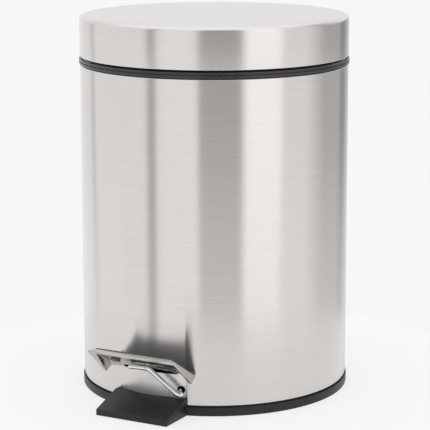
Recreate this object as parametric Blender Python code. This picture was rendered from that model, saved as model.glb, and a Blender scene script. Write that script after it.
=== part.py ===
"""Round pedal bin, 5 litres: brushed steel can and lid, plastic base and bucket, pedal linkage.

Metres, +Z up. The origin is the middle of the flat underside of the base, on the floor.
The pedal is at the front, -Y. The lid's hinge is at the back, +Y.
"""
import math

import bmesh
import bpy
from mathutils import Matrix, Vector

# Driving dimensions
GAP = 0.0003
SIDES = 84

CAN_R = 0.0999
SHEET = 0.0005
CAN_BOTTOM = 0.0078
CAN_TOP = 0.2436

BASE_R = 0.1007
BASE_TOP = 0.0068
PAN_FLOOR = 0.0022
PAN_UPSTAND = 0.0140

COLLAR_R = 0.1006
COLLAR_BOTTOM = 0.2439
COLLAR_TOP = 0.2491

LID_R = 0.1000
LID_BOTTOM = 0.2494
LID_TOP = 0.2796
LID_SHEET = 0.0006
LID_EDGE_R = 0.0032

BUCKET_R = 0.0900
BUCKET_FOOT_R = 0.0840
BUCKET_BOTTOM = 0.0412
BUCKET_TOP = 0.2488
BUCKET_WALL = 0.0015

BLOCK_HALF = 0.0294
BLOCK_FRONT = 0.1259
BLOCK_LOW = 0.0048
BLOCK_HIGH = 0.0129

PEDAL_Y = -0.0985
PEDAL_Z = 0.0318
PEDAL_SHEET = 0.0012
TREAD_REAR_Y = -0.0950
TREAD_REAR_Z = 0.0302
TREAD_FRONT_Y = -0.1222
TREAD_FRONT_Z = 0.0484
PAD_THICKNESS = 0.0008
SLOT_HALF = 0.0224

WIRE_R = 0.0015
SHAFT_Z = 0.0190
SHAFT_TURN = math.asin(0.025 / CAN_R)
SHAFT_REAR = 0.0820
REAR_ARM = 0.0278
REAR_ARM_DROP = math.radians(11.0)
CRANK_PIN_END = 0.0905

HINGE_Y = 0.1045
HINGE_Z = 0.2500
NOSE_DROP = math.radians(33.5)
NOSE_LENGTH = 0.0108
HINGE_PIN_R = 0.0015

ROD_X = 0.0
ROD_Y = 0.0965
ROD_TOP = 0.2416
EYE_R = 0.0042

BAIL_Z = 0.2420
DISC_Z = 0.0380


def clear_scene():
    for obj in list(bpy.data.objects):
        bpy.data.objects.remove(obj, do_unlink=True)


def material(name, colour, roughness, metallic):
    made = bpy.data.materials.new(name)
    made.use_nodes = True
    shader = made.node_tree.nodes["Principled BSDF"]
    shader.inputs["Base Color"].default_value = (*colour, 1.0)
    shader.inputs["Roughness"].default_value = roughness
    shader.inputs["Metallic"].default_value = metallic
    made.diffuse_color = (*colour, 1.0)
    return made


def place(obj, finish):
    bpy.context.scene.collection.objects.link(obj)
    if finish is not None:
        obj.data.materials.append(finish)
    return obj


def from_bmesh(name, bm, finish, smooth=30.0):
    mesh = bpy.data.meshes.new(name)
    bm.to_mesh(mesh)
    bm.free()
    mesh.shade_smooth()
    mesh.set_sharp_from_angle(angle=math.radians(smooth))
    return place(bpy.data.objects.new(name, mesh), finish)


def turned(name, outline, finish, sides=SIDES):
    """Turns an outline of (radius, height) points about Z. A point at radius 0 becomes a pole."""
    bm = bmesh.new()
    points = [bm.verts.new((radius, 0.0, height)) for radius, height in outline]
    pairs = list(zip(points, points[1:]))
    if outline[0][0] > 0.0:
        pairs.append((points[-1], points[0]))
    edges = [bm.edges.new(pair) for pair in pairs]
    bmesh.ops.spin(bm, geom=points + edges, axis=(0, 0, 1), cent=(0, 0, 0),
                   steps=sides, angle=2 * math.pi, use_merge=True)
    bmesh.ops.remove_doubles(bm, verts=bm.verts, dist=1e-6)
    bmesh.ops.recalc_face_normals(bm, faces=bm.faces)
    return from_bmesh(name, bm, finish)


def prism(name, outline, axis, low, high, finish):
    """Extrudes a flat outline along an axis, from low to high. The outline is in the two other axes."""
    spots = {"X": lambda a, b, c: (c, a, b), "Y": lambda a, b, c: (a, c, b), "Z": lambda a, b, c: (a, b, c)}
    bm = bmesh.new()
    face = bm.faces.new([bm.verts.new(spots[axis](a, b, low)) for a, b in outline])
    moved = bmesh.ops.extrude_face_region(bm, geom=[face])["geom"]
    push = Vector(spots[axis](0.0, 0.0, high - low))
    bmesh.ops.translate(bm, vec=push, verts=[v for v in moved if isinstance(v, bmesh.types.BMVert)])
    bmesh.ops.recalc_face_normals(bm, faces=bm.faces)
    return from_bmesh(name, bm, finish)


def box(name, x, y, z, finish):
    return prism(name, [(x[0], y[0]), (x[1], y[0]), (x[1], y[1]), (x[0], y[1])], "Z", z[0], z[1], finish)


def rod(name, radius, axis, low, high, centre, finish, sides=20):
    """A round bar along an axis. Its centre is given in the two other axes, in X, Y, Z order."""
    ring = [(centre[0] + radius * math.cos(2 * math.pi * i / sides),
             centre[1] + radius * math.sin(2 * math.pi * i / sides)) for i in range(sides)]
    return prism(name, ring, axis, low, high, finish)


def headed(name, shank_r, shank, head_r, head, finish, sides=16):
    """A pin along +Z from the face under its head, which is domed and reaches down from 0."""
    outline = [(0.0, -head), (head_r * 0.62, -head * 0.86), (head_r, -head * 0.25), (head_r, 0.0),
               (shank_r, 0.0), (shank_r, shank), (0.0, shank)]
    return turned(name, outline, finish, sides)


def wire(name, route, radius, finish, detail=2):
    """A round wire through a list of points."""
    curve = bpy.data.curves.new(name, "CURVE")
    curve.dimensions = "3D"
    curve.bevel_depth = radius
    curve.bevel_resolution = detail
    curve.use_fill_caps = True
    spline = curve.splines.new("POLY")
    spline.points.add(len(route) - 1)
    for point, spot in zip(spline.points, route):
        point.co = (*spot, 1.0)
    return place(bpy.data.objects.new(name, curve), finish)


def sleeve(name, route, outer, inner, finish, sides=12):
    """A bent tube, open at both ends, around a wire that lies level."""
    bm = bmesh.new()
    rows = []
    for before, here, after in zip(route, route[1:], route[2:]):
        side = (Vector(after) - Vector(before)).cross(Vector((0, 0, 1))).normalized()
        turns = [2 * math.pi * i / sides for i in range(sides)]
        rows.append([[bm.verts.new(Vector(here) + radius * (side * math.cos(t) + Vector((0, 0, math.sin(t)))))
                      for t in turns] for radius in (outer, inner)])
    bands = [(first[wall], last[wall]) for first, last in zip(rows, rows[1:]) for wall in (0, 1)]
    bands += [(rows[0][0], rows[0][1]), (rows[-1][0], rows[-1][1])]
    for first, last in bands:
        for i in range(sides):
            j = (i + 1) % sides
            bm.faces.new((first[i], first[j], last[j], last[i]))
    bmesh.ops.recalc_face_normals(bm, faces=bm.faces)
    return from_bmesh(name, bm, finish)


def smooth_route(stops, step=0.0026):
    """Points along a smooth curve through the stops."""
    stops = [Vector(stop) for stop in stops]
    ends = [stops[0] * 2 - stops[1]] + stops + [stops[-1] * 2 - stops[-2]]
    route = []
    for before, here, there, after in zip(ends, ends[1:], ends[2:], ends[3:]):
        reach = (there - here).length
        pull_here = (there - before) * reach / ((here - before).length + reach)
        pull_there = (after - here) * reach / ((after - there).length + reach)
        count = max(1, round(reach / step))
        for i in range(count):
            t = i / count
            route.append(here * (2 * t ** 3 - 3 * t ** 2 + 1) + pull_here * (t ** 3 - 2 * t ** 2 + t)
                         + there * (3 * t ** 2 - 2 * t ** 3) + pull_there * (t ** 3 - t ** 2))
    route.append(stops[-1])
    return route


def helper(obj):
    obj.hide_render = True
    obj.display_type = "WIRE"
    return obj


def combine(obj, tool, operation):
    change = obj.modifiers.new(tool.name, "BOOLEAN")
    change.operation = operation
    change.solver = "EXACT"
    change.object = helper(tool)
    return obj


def cut(obj, tool):
    return combine(obj, tool, "DIFFERENCE")


def add(obj, tool):
    return combine(obj, tool, "UNION")


def turn(obj, angle, axis="Z"):
    """Turns an object about the origin and applies the turn to its shape."""
    obj.data.transform(Matrix.Rotation(angle, 4, axis))
    return obj


def move(obj, spot):
    obj.data.transform(Matrix.Translation(Vector(spot)))
    return obj


def pivot(name, spot):
    """An empty on a joint's axis, which carries the pieces of one moving body."""
    empty = bpy.data.objects.new(name, None)
    empty.empty_display_size = 0.01
    empty.location = spot
    bpy.context.scene.collection.objects.link(empty)
    return empty


def carry(empty, *pieces):
    for piece in pieces:
        piece.parent = empty
        piece.location = -empty.location


def shaft_point(across, along, height):
    """A point in the crank's own frame, turned to the shaft's direction. Along is towards the back."""
    return Matrix.Rotation(SHAFT_TURN, 3, "Z") @ Vector((across, along, height))


def on_floor(angle, radius):
    return radius * math.cos(math.radians(angle)), radius * math.sin(math.radians(angle))


# Base
def make_base(plastic, rubber):
    outline = [(0.0, 0.0), (BASE_R - 0.0006, 0.0), (BASE_R, 0.0006), (BASE_R, BASE_TOP - 0.0005),
               (BASE_R - 0.0005, BASE_TOP), (CAN_R - 0.0009, BASE_TOP), (CAN_R - 0.0009, PAN_UPSTAND),
               (CAN_R - 0.0027, PAN_UPSTAND), (CAN_R - 0.0027, PAN_FLOOR), (0.0, PAN_FLOOR)]
    pan = turned("base_pan", outline, plastic)
    add(pan, pedal_rest())
    for name, along in (("front", -0.0780), ("rear", 0.0640)):
        add(pan, bearing_boss(name, along))
        for side in (-1, 1):
            cut(pan, screw_hole(name, side, along))
    for i, (angle, radius) in enumerate(POSTS):
        x, y = on_floor(angle, radius)
        post = rod(f"post_{i}", 0.0040, "Z", 0.0012, DISC_Z - GAP, (x, y), None, 14)
        add(pan, post)
    for i, angle in enumerate((45, 135, 225, 315)):
        x, y = on_floor(angle, 0.0860)
        cut(pan, rod(f"foot_pocket_{i}", 0.0074, "Z", -0.0010, 0.0013, (x, y), None, 24))
        rod(f"foot_pad_{i + 1}", 0.0070, "Z", 0.0, 0.0010, (x, y), rubber, 24)
    return pan


POSTS = ((30, 0.0620), (150, 0.0620), (222, 0.0680), (318, 0.0680))


def pedal_rest():
    """The wedge in front of the base that the pedal comes down over, hollowed to the can's curve."""
    side = [(-0.0900, 0.0), (-BLOCK_FRONT + 0.0004, 0.0), (-BLOCK_FRONT, 0.0004),
            (-BLOCK_FRONT, BLOCK_LOW - 0.0006), (-BLOCK_FRONT + 0.0006, BLOCK_LOW),
            (-0.0990, BLOCK_HIGH), (-0.0900, BLOCK_HIGH)]
    wedge = prism("pedal_rest", side, "X", -BLOCK_HALF, BLOCK_HALF, None)
    hollow_r, hollow_top = CAN_R + GAP, 0.03
    can = [(0.0, BASE_TOP), (hollow_r, BASE_TOP), (hollow_r, hollow_top), (0.0, hollow_top)]
    return cut(wedge, turned("pedal_rest_hollow", can, None))


def bearing_boss(name, along):
    boss = box(f"boss_{name}", (-0.0110, 0.0110), (along - 0.0040, along + 0.0040),
               (0.0012, SHAFT_Z - WIRE_R - GAP), None)
    return turn(boss, SHAFT_TURN)


def screw_hole(name, side, along):
    hole = rod(f"boss_hole_{name}_{side}", 0.0017, "Z", 0.0080, SHAFT_Z, (side * 0.0075, along), None, 12)
    return turn(hole, SHAFT_TURN)


# Can
def make_can(steel):
    inside = CAN_R - SHEET
    outline = [(CAN_R, CAN_TOP), (inside, CAN_TOP), (inside, CAN_BOTTOM), (CAN_R, CAN_BOTTOM)]
    can = turned("body_shell", outline, steel)
    slot_z = (PEDAL_Z - 0.0020, PEDAL_Z + 0.0020)
    cut(can, box("pedal_slot", (-SLOT_HALF, SLOT_HALF), (-0.1040, -0.0900), slot_z, None))
    cut(can, turn(rod("wire_hole", 0.0029, "Y", -0.1040, -0.0900, (0.0, SHAFT_Z), None), SHAFT_TURN))
    for side in (-1, 1):
        cut(can, rod(f"bracket_hole_{side}", 0.0019, "Y", 0.0900, 0.1040, (side * 0.0100, 0.2330), None, 12))
    cut(can, rod("guide_hole", 0.0019, "Y", 0.0900, 0.1040, (0.0100, 0.2000), None, 12))
    return can


def make_floor_disc(steel):
    """The steel false floor that covers the linkage, on the base's four posts."""
    rim = CAN_R - SHEET - GAP
    top = DISC_Z + 0.0008
    disc = turned("linkage_cover", [(0.0, DISC_Z), (rim, DISC_Z), (rim, top), (0.0, top)], steel)
    notch_z = (DISC_Z - 0.002, DISC_Z + 0.002)
    return cut(disc, box("rod_notch", (-0.0050, 0.0070), (0.0840, 0.1010), notch_z, None))


def make_collar(plastic, rubber):
    outline = [(0.0907, 0.2449), (0.0907, 0.2472), (0.0923, 0.2472), (0.0923, COLLAR_TOP),
               (COLLAR_R - 0.0004, COLLAR_TOP), (COLLAR_R, COLLAR_TOP - 0.0004), (COLLAR_R, COLLAR_BOTTOM),
               (CAN_R - 0.0009, COLLAR_BOTTOM), (CAN_R - 0.0009, 0.2385), (CAN_R - 0.0025, 0.2385),
               (CAN_R - 0.0025, 0.2449)]
    collar = turned("collar_ring", list(reversed(outline)), plastic)
    cut(collar, box("lever_notch", (-0.0090, 0.0090), (0.0926, 0.1030), (0.2370, 0.2510), None))
    for i, angle in enumerate((20, 160, 235, 305)):
        x, y = on_floor(angle, 0.0962)
        cut(collar, rod(f"bumper_pocket_{i}", 0.0026, "Z", 0.2472, 0.2510, (x, y), None, 16))
        rod(f"rim_bumper_{i + 1}", 0.0023, "Z", 0.2475, 0.2493, (x, y), rubber, 16)
    return collar


# Bucket
def make_bucket(plastic):
    foot, mouth, wall = BUCKET_FOOT_R, BUCKET_R, BUCKET_WALL
    outline = [(0.0, BUCKET_BOTTOM), (foot - 0.004, BUCKET_BOTTOM), (foot, BUCKET_BOTTOM + 0.004),
               (mouth, 0.2475), (0.0920, 0.2475), (0.0920, BUCKET_TOP), (mouth - wall, BUCKET_TOP),
               (foot - wall, BUCKET_BOTTOM + 0.0045), (foot - 0.0045, BUCKET_BOTTOM + wall),
               (0.0, BUCKET_BOTTOM + wall)]
    bucket = turned("bucket", outline, plastic)
    for side in (-1, 1):
        low, high = sorted((side * 0.0850, side * 0.0940))
        cut(bucket, rod(f"bail_hole_{side}", 0.0016, "X", low, high, (0.0, BAIL_Z), None, 12))
    return bucket


def make_bail(steel, plastic):
    """The bucket's wire handle, lying back inside its mouth, and the sleeve at its middle."""
    reach, back, wire_r = 0.0845, 0.0800, 0.0012
    arc = [(reach * math.cos(t), back * math.sin(t), BAIL_Z)
           for t in [math.pi * i / 46 for i in range(2, 45)]]
    ends = [(0.0930, 0.0, BAIL_Z), (0.0880, 0.0, BAIL_Z), (0.0858, 0.0012, BAIL_Z)]
    route = ends + arc + [(-x, y, z) for x, y, z in reversed(ends)]
    bail = wire("bucket_handle", route, wire_r, steel, 1)
    grip = sleeve("bucket_handle_grip", arc[15:28], 0.0032, wire_r + GAP, plastic)
    carry(pivot("bail_axis", (0.0, 0.0, BAIL_Z)), bail, grip)


# Lid
def lid_outline():
    top, edge, sheet = LID_TOP, LID_EDGE_R, LID_SHEET
    outer = [(LID_R - edge + edge * math.cos(a), top - edge + edge * math.sin(a))
             for a in [math.pi / 2 * i / 5 for i in range(6)]]
    inner_r = edge - sheet
    inner = [(LID_R - edge + inner_r * math.cos(a), top - edge + inner_r * math.sin(a))
             for a in [math.pi / 2 * i / 5 for i in range(6)]]
    return ([(0.0, top - sheet)] + list(reversed(inner)) + [(LID_R - sheet, LID_BOTTOM), (LID_R, LID_BOTTOM)]
            + outer + [(0.0, top)])


def make_lid(steel, plastic):
    shell = turned("lid_shell", lid_outline(), steel)
    liner = turned("lid_liner", [(0.0, 0.2740), (0.0965, 0.2740), (0.0965, 0.2500), (0.0990, 0.2500),
                                 (0.0990, 0.2755), (0.0, 0.2755)], plastic)
    for side in (-1, 1):
        cut(shell, rod(f"leaf_hole_{side}", 0.0019, "Y", 0.0900, 0.1030, (side * 0.0070, 0.2650), None, 12))
        cut(liner, rod(f"liner_hole_{side}", 0.0019, "Y", 0.0900, 0.1030, (side * 0.0070, 0.2650), None, 12))
    return shell, liner


# Hinge
def make_hinge_leaf(steel):
    """Riveted to the lid's back. A nose under the lid reaches in over the lift rod."""
    plate = [(0.1003, 0.2545), (0.1015, 0.2545), (0.1015, 0.2725), (0.1003, 0.2725)]
    leaf = turned("hinge_leaf", plate, steel)
    strip = box("leaf_outline", (-0.0120, 0.0120), (0.0900, 0.1100), (0.2500, 0.2800), None)
    combine(leaf, strip, "INTERSECT")
    web_side = [(0.1004, 0.2560), (0.1004, 0.2515), (0.1030, 0.2490), (0.1062, 0.2510),
                (0.1040, 0.2535), (0.1014, 0.2580)]
    web = prism("leaf_web", web_side, "X", -0.0075, 0.0075, None)
    knuckle = rod("leaf_knuckle", 0.0033, "X", -0.0075, 0.0075, (HINGE_Y, HINGE_Z), None)
    along = Vector((-math.cos(NOSE_DROP), -math.sin(NOSE_DROP)))
    across = Vector((-along.y, along.x)) * 0.0012
    hinge, tip = Vector((HINGE_Y, HINGE_Z)), Vector((HINGE_Y, HINGE_Z)) + along * NOSE_LENGTH
    nose_side = [hinge + across, tip + across, tip - across, hinge - across]
    nose = prism("leaf_nose", nose_side, "X", -0.0050, 0.0050, None)
    for tool in (web, knuckle, nose):
        add(leaf, tool)
    cut(leaf, rod("leaf_bore", HINGE_PIN_R + GAP, "X", -0.0200, 0.0200, (HINGE_Y, HINGE_Z), None))
    for side in (-1, 1):
        spot = (side * 0.0070, 0.2650)
        cut(leaf, rod(f"leaf_rivet_hole_{side}", 0.0019, "Y", 0.0900, 0.1100, spot, None, 12))
    return leaf


def make_hinge_bracket(plastic):
    """The two-eared bracket behind the can's rim that holds the hinge pin."""
    side = [(0.0960, 0.2240), (0.1030, 0.2240), (0.1074, 0.2290), (0.1083, 0.2490), (0.0960, 0.2490)]
    bracket = prism("hinge_bracket", side, "X", -0.0150, 0.0150, plastic)
    add(bracket, rod("bracket_ears", 0.0038, "X", -0.0150, 0.0150, (HINGE_Y, HINGE_Z), None))
    hollow = [(0.0, 0.20), (CAN_R + GAP, 0.20), (CAN_R + GAP, CAN_TOP), (COLLAR_R + GAP, CAN_TOP),
              (COLLAR_R + GAP, 0.27), (0.0, 0.27)]
    cut(bracket, turned("bracket_hollow", hollow, None))
    cut(bracket, box("knuckle_gap", (-0.0079, 0.0079), (0.0900, 0.1100), (0.2440, 0.2600), None))
    cut(bracket, rod("bracket_bore", HINGE_PIN_R + GAP, "X", -0.0200, 0.0200, (HINGE_Y, HINGE_Z), None))
    for side in (-1, 1):
        spot = (side * 0.0100, 0.2330)
        cut(bracket, rod(f"bracket_thread_{side}", 0.0019, "Y", 0.0900, 0.1050, spot, None, 12))
    return bracket


def make_hinge_fixings(steel):
    pin = headed("hinge_pin", HINGE_PIN_R, 0.0345, 0.0028, 0.0014, steel)
    move(turn(pin, math.pi / 2, "Y"), (-0.0153, HINGE_Y, HINGE_Z))
    cap = turned("hinge_pin_cap", [(HINGE_PIN_R + GAP, 0.0), (0.0030, 0.0), (0.0030, 0.0012),
                                   (HINGE_PIN_R + GAP, 0.0022)], steel, 20)
    move(turn(cap, math.pi / 2, "Y"), (0.0153, HINGE_Y, HINGE_Z))
    rivets = []
    for i, side in enumerate((-1, 1)):
        screw = headed(f"bracket_screw_{i + 1}", 0.0015, 0.0050, 0.0030, 0.0016, steel)
        move(turn(screw, -math.pi / 2, "X"), (side * 0.0100, 0.0984, 0.2330))
        rivet = headed(f"leaf_rivet_{i + 1}", 0.0016, 0.0050, 0.0028, 0.0012, steel)
        rivets.append(move(turn(rivet, math.pi / 2, "X"), (side * 0.0070, 0.1018, 0.2650)))
    return rivets


# Linkage
def make_crank(steel):
    """One bent wire: a foot under the pedal, a shaft across the base and an arm under the lift rod."""
    drop, reach = REAR_ARM * math.sin(REAR_ARM_DROP), REAR_ARM * math.cos(REAR_ARM_DROP)
    rear = [shaft_point(reach, CRANK_PIN_END, SHAFT_Z - drop),
            shaft_point(reach, SHAFT_REAR + 0.0035, SHAFT_Z - drop),
            shaft_point(reach - 0.0010, SHAFT_REAR + 0.0010, SHAFT_Z - drop + 0.0002),
            shaft_point(reach - 0.0035, SHAFT_REAR, SHAFT_Z - drop + 0.0007),
            shaft_point(0.0035, SHAFT_REAR, SHAFT_Z - 0.0007),
            shaft_point(0.0010, SHAFT_REAR - 0.0010, SHAFT_Z - 0.0002),
            shaft_point(0.0, SHAFT_REAR - 0.0035, SHAFT_Z), shaft_point(0.0, 0.0, SHAFT_Z)]
    front = [shaft_point(0.0, -0.0990, SHAFT_Z), (0.0265, -0.1012, 0.0186), (0.0284, -0.1028, 0.0176),
             (0.0278, -0.1036, 0.0170), (0.0250, -0.1040, 0.0180), (0.0220, -0.1045, 0.0204),
             (0.0085, -0.1064, 0.0312), (0.0060, -0.1068, 0.0333), (0.0030, -0.1070, 0.0344),
             (-0.0005, -0.1070, 0.0345), (-0.0130, -0.1070, 0.0340)]
    crank = wire("wire_crank", smooth_route(rear + front), WIRE_R, steel, 2)
    carry(pivot("crank_axis", (0.0, 0.0, SHAFT_Z)), crank)


def make_bearing(name, along, steel):
    """A steel strap over the crank's shaft, with a screw on each side."""
    low, over = SHAFT_Z - WIRE_R, WIRE_R + GAP
    rise = over + 0.0010
    arch = [(-rise * math.cos(t), SHAFT_Z + rise * math.sin(t)) for t in [math.pi * i / 8 for i in range(9)]]
    under = [(over * math.cos(t), SHAFT_Z + over * math.sin(t)) for t in [math.pi * i / 8 for i in range(9)]]
    outline = ([(-0.0110, low), (-0.0110, low + 0.0010), (-rise, low + 0.0010)] + arch
               + [(rise, low + 0.0010), (0.0110, low + 0.0010), (0.0110, low), (over, low)]
               + under + [(-over, low)])
    strap = prism(f"{name}_bearing_strap", outline, "Y", along - 0.0035, along + 0.0035, steel)
    turn(strap, SHAFT_TURN)
    for i, side in enumerate((-1, 1)):
        hole = rod(f"{name}_strap_hole_{i}", 0.0018, "Z", 0.0100, 0.0300, (side * 0.0075, along), None, 12)
        cut(strap, turn(hole, SHAFT_TURN))
        screw = headed(f"{name}_bearing_screw_{i + 1}", 0.0014, 0.0085, 0.0026, 0.0016, steel)
        turn(screw, math.pi, "X")
        move(screw, shaft_point(side * 0.0075, along, low + 0.0010 + GAP))


def make_lift_rod(steel, plastic):
    """The bent rod from the crank's rear pin to the lid lever, and the clip that guides it."""
    drop, reach = REAR_ARM * math.sin(REAR_ARM_DROP), REAR_ARM * math.cos(REAR_ARM_DROP)
    eye = shaft_point(reach, SHAFT_REAR + 0.0062, SHAFT_Z - drop)
    across = shaft_point(1.0, 0.0, 0.0)
    loop = [eye + across * EYE_R * math.sin(t) + Vector((0, 0, EYE_R * math.cos(t)))
            for t in [math.radians(a) for a in range(322, -1, -23)]]
    top_of_eye = loop[-1]
    stem = [top_of_eye + Vector((-0.0010, 0.0002, 0.0030)), Vector((0.0015, 0.0920, 0.0300)),
            Vector((0.0006, 0.0945, 0.0420)), Vector((ROD_X, ROD_Y, 0.0600)), Vector((ROD_X, ROD_Y, ROD_TOP))]
    route = loop + smooth_route([top_of_eye] + stem[:4], 0.0030)[1:] + [stem[4]]
    lift = wire("lift_rod", route, WIRE_R, steel, 2)
    carry(pivot("lift_axis", (ROD_X, ROD_Y, ROD_TOP)), lift)
    guide = box("rod_guide", (-0.0050, 0.0145), (0.0935, 0.1000), (0.1960, 0.2040), plastic)
    inside = CAN_R - SHEET - GAP
    outer = turned("guide_back", [(0.11, 0.19), (inside, 0.19), (inside, 0.21), (0.11, 0.21)], None)
    cut(guide, outer)
    cut(guide, rod("guide_bore", WIRE_R + GAP, "Z", 0.1900, 0.2100, (ROD_X, ROD_Y), None, 16))
    cut(guide, rod("guide_thread", 0.0017, "Y", 0.0950, 0.1100, (0.0100, 0.2000), None, 12))
    rivet = headed("guide_rivet", 0.0014, 0.0042, 0.0030, 0.0012, steel)
    move(turn(rivet, math.pi / 2, "X"), (0.0100, 0.1001, 0.2000))


# Pedal
def pedal_line(y):
    """Height of the pedal's top face at a place in front of the axis."""
    slope = (TREAD_FRONT_Z - TREAD_REAR_Z) / (TREAD_REAR_Y - TREAD_FRONT_Y)
    return TREAD_REAR_Z + (TREAD_REAR_Y - y) * slope


def make_pedal(chrome, rubber):
    """A plate folded from one sheet. Its tongue goes through the slot in the can and hooks behind it."""
    half = [(0.0318, TREAD_FRONT_Y), (0.0358, -0.0948), (0.0300, -0.0965), (0.0215, -0.0982),
            (0.0195, -0.0982), (0.0195, -0.0925)]
    bm = bmesh.new()
    right = [bm.verts.new((x, y, pedal_line(y))) for x, y in half]
    left = [bm.verts.new((-x, y, pedal_line(y))) for x, y in half]
    panel = bm.faces.new(right + list(reversed(left)))
    low = [[bm.verts.new((side * 0.0363, -0.1020, 0.0265)), bm.verts.new((side * 0.0361, -0.1250, 0.0473))]
           for side in (1, -1)]
    for (bottom, lip), top in zip(low, (right, left)):
        bm.faces.new([top[0], top[1], bottom])
        bm.faces.new([top[0], bottom, lip])
    bm.faces.new([right[0], low[0][1], low[1][1], left[0]])
    hook = [bm.verts.new((side * 0.0195, -0.0942, 0.0259)) for side in (1, -1)]
    bm.faces.new([right[5], hook[0], hook[1], left[5]])
    bmesh.ops.recalc_face_normals(bm, faces=bm.faces)
    if panel.normal.z < 0:
        bmesh.ops.reverse_faces(bm, faces=bm.faces)
    plate = from_bmesh("pedal_plate", bm, chrome)
    thick = plate.modifiers.new("sheet", "SOLIDIFY")
    thick.thickness = PEDAL_SHEET
    thick.offset = -1.0
    thick.use_even_offset = True
    pad = make_pad(rubber)
    tilt = math.atan2(TREAD_FRONT_Z - TREAD_REAR_Z, TREAD_REAR_Y - TREAD_FRONT_Y)
    for side in (-1, 1):
        spot = (side * 0.0216, -0.1095, pedal_line(-0.1095))
        hole = rod(f"stud_hole_{side}", 0.0037, "Z", -0.0040, 0.0030, (0.0, 0.0), None, 16)
        cut(plate, move(turn(hole, -tilt, "X"), spot))
        stud = rod(f"pad_stud_{side}", 0.0034, "Z", -0.0020, GAP + PAD_THICKNESS / 2, (0.0, 0.0), None, 16)
        add(pad, move(turn(stud, -tilt, "X"), spot))
    carry(pivot("pedal_axis", (0.0, PEDAL_Y, PEDAL_Z)), plate, pad)


def make_pad(rubber):
    """The ribbed rubber tread on the plate. Its two studs go through the plate's holes."""
    outline = [(0.0313, -0.1215), (0.0352, -0.0955), (0.0240, -0.0990), (0.0200, -0.1012)]
    outline = outline + [(-x, y) for x, y in reversed(outline)]
    bm = bmesh.new()
    face = bm.faces.new([bm.verts.new((x, y, pedal_line(y))) for x, y in outline])
    face.normal_update()
    normal = face.normal.copy()
    if normal.z < 0:
        normal.negate()
    raised = bmesh.ops.extrude_face_region(bm, geom=[face])["geom"]
    top = [part for part in raised if isinstance(part, bmesh.types.BMVert)]
    bmesh.ops.translate(bm, vec=normal * PAD_THICKNESS, verts=top)
    bmesh.ops.translate(bm, vec=normal * GAP, verts=bm.verts)
    bmesh.ops.recalc_face_normals(bm, faces=bm.faces)
    return from_bmesh("pedal_pad", bm, rubber)


def main():
    clear_scene()
    steel = material("brushed_steel", (0.62, 0.60, 0.58), 0.30, 1.0)
    wire_steel = material("bright_steel", (0.70, 0.70, 0.70), 0.18, 1.0)
    chrome = material("chrome", (0.78, 0.78, 0.78), 0.08, 1.0)
    black = material("black_plastic", (0.025, 0.025, 0.026), 0.45, 0.0)
    bucket_black = material("bucket_plastic", (0.03, 0.03, 0.03), 0.5, 0.0)
    rubber = material("rubber", (0.02, 0.02, 0.02), 0.8, 0.0)
    make_base(black, rubber)
    make_can(steel)
    make_floor_disc(wire_steel)
    make_collar(black, rubber)
    make_bucket(bucket_black)
    make_bail(wire_steel, bucket_black)
    shell, liner = make_lid(steel, black)
    leaf = make_hinge_leaf(wire_steel)
    make_hinge_bracket(black)
    rivets = make_hinge_fixings(wire_steel)
    carry(pivot("hinge_axis", (0.0, HINGE_Y, HINGE_Z)), shell, liner, leaf, *rivets)
    make_crank(wire_steel)
    make_bearing("front", -0.0780, wire_steel)
    make_bearing("rear", 0.0640, wire_steel)
    make_lift_rod(wire_steel, black)
    make_pedal(chrome, rubber)


main()
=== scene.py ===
import math

import bmesh
import bpy
from mathutils import Matrix, Vector


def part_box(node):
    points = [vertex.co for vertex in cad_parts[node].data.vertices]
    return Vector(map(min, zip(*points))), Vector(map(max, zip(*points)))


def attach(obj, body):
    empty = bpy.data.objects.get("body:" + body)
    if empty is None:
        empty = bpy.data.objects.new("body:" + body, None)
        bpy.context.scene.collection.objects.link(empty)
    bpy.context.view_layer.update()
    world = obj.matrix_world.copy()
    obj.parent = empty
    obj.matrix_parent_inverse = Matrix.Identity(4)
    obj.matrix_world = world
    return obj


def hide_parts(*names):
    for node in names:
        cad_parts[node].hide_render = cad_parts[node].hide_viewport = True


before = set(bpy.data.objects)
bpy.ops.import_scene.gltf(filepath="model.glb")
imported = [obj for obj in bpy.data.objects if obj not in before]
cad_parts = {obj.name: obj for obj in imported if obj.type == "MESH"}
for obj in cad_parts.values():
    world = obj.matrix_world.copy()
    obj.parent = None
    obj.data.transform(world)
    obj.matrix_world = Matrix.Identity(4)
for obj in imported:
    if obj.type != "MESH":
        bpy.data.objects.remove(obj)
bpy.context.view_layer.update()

# ---------------------------------------------------------------- Studio
# A plain white, softly lit table top in a white studio. A large key box stands to the right of the
# camera, a long white fill to its left, and dim gaps lie behind the camera and far to the right.
CAMERA_TURN = math.radians(28.48)
CAMERA_REACH = 1.3693
CAMERA_HEIGHT = 0.4103
CAMERA_DIP = math.radians(11.683)
CAMERA_ASIDE = 0.00023
CAMERA_LEAN = math.radians(-0.123)

lens = bpy.data.cameras.new("camera")
lens.lens = 154.40
lens.sensor_width = 36.0
camera = bpy.data.objects.new("camera", lens)
camera.location = (CAMERA_REACH * math.sin(CAMERA_TURN), -CAMERA_REACH * math.cos(CAMERA_TURN), CAMERA_HEIGHT)
camera.rotation_euler = (Matrix.Rotation(CAMERA_TURN - CAMERA_ASIDE, 3, "Z")
                         @ Matrix.Rotation(math.pi / 2 - CAMERA_DIP, 3, "X")
                         @ Matrix.Rotation(CAMERA_LEAN, 3, "Z")).to_euler()
bpy.context.scene.collection.objects.link(camera)
bpy.context.scene.camera = camera
bpy.context.scene.view_settings.view_transform = "Standard"


def node(tree, kind, **values):
    """A shader node with its settings, and its sockets' values where the name is a socket's."""
    made = tree.nodes.new(kind)
    for name, value in values.items():
        if hasattr(made, name):
            setattr(made, name, value)
        else:
            made.inputs[name.replace("_", " ")].default_value = value
    return made


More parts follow.
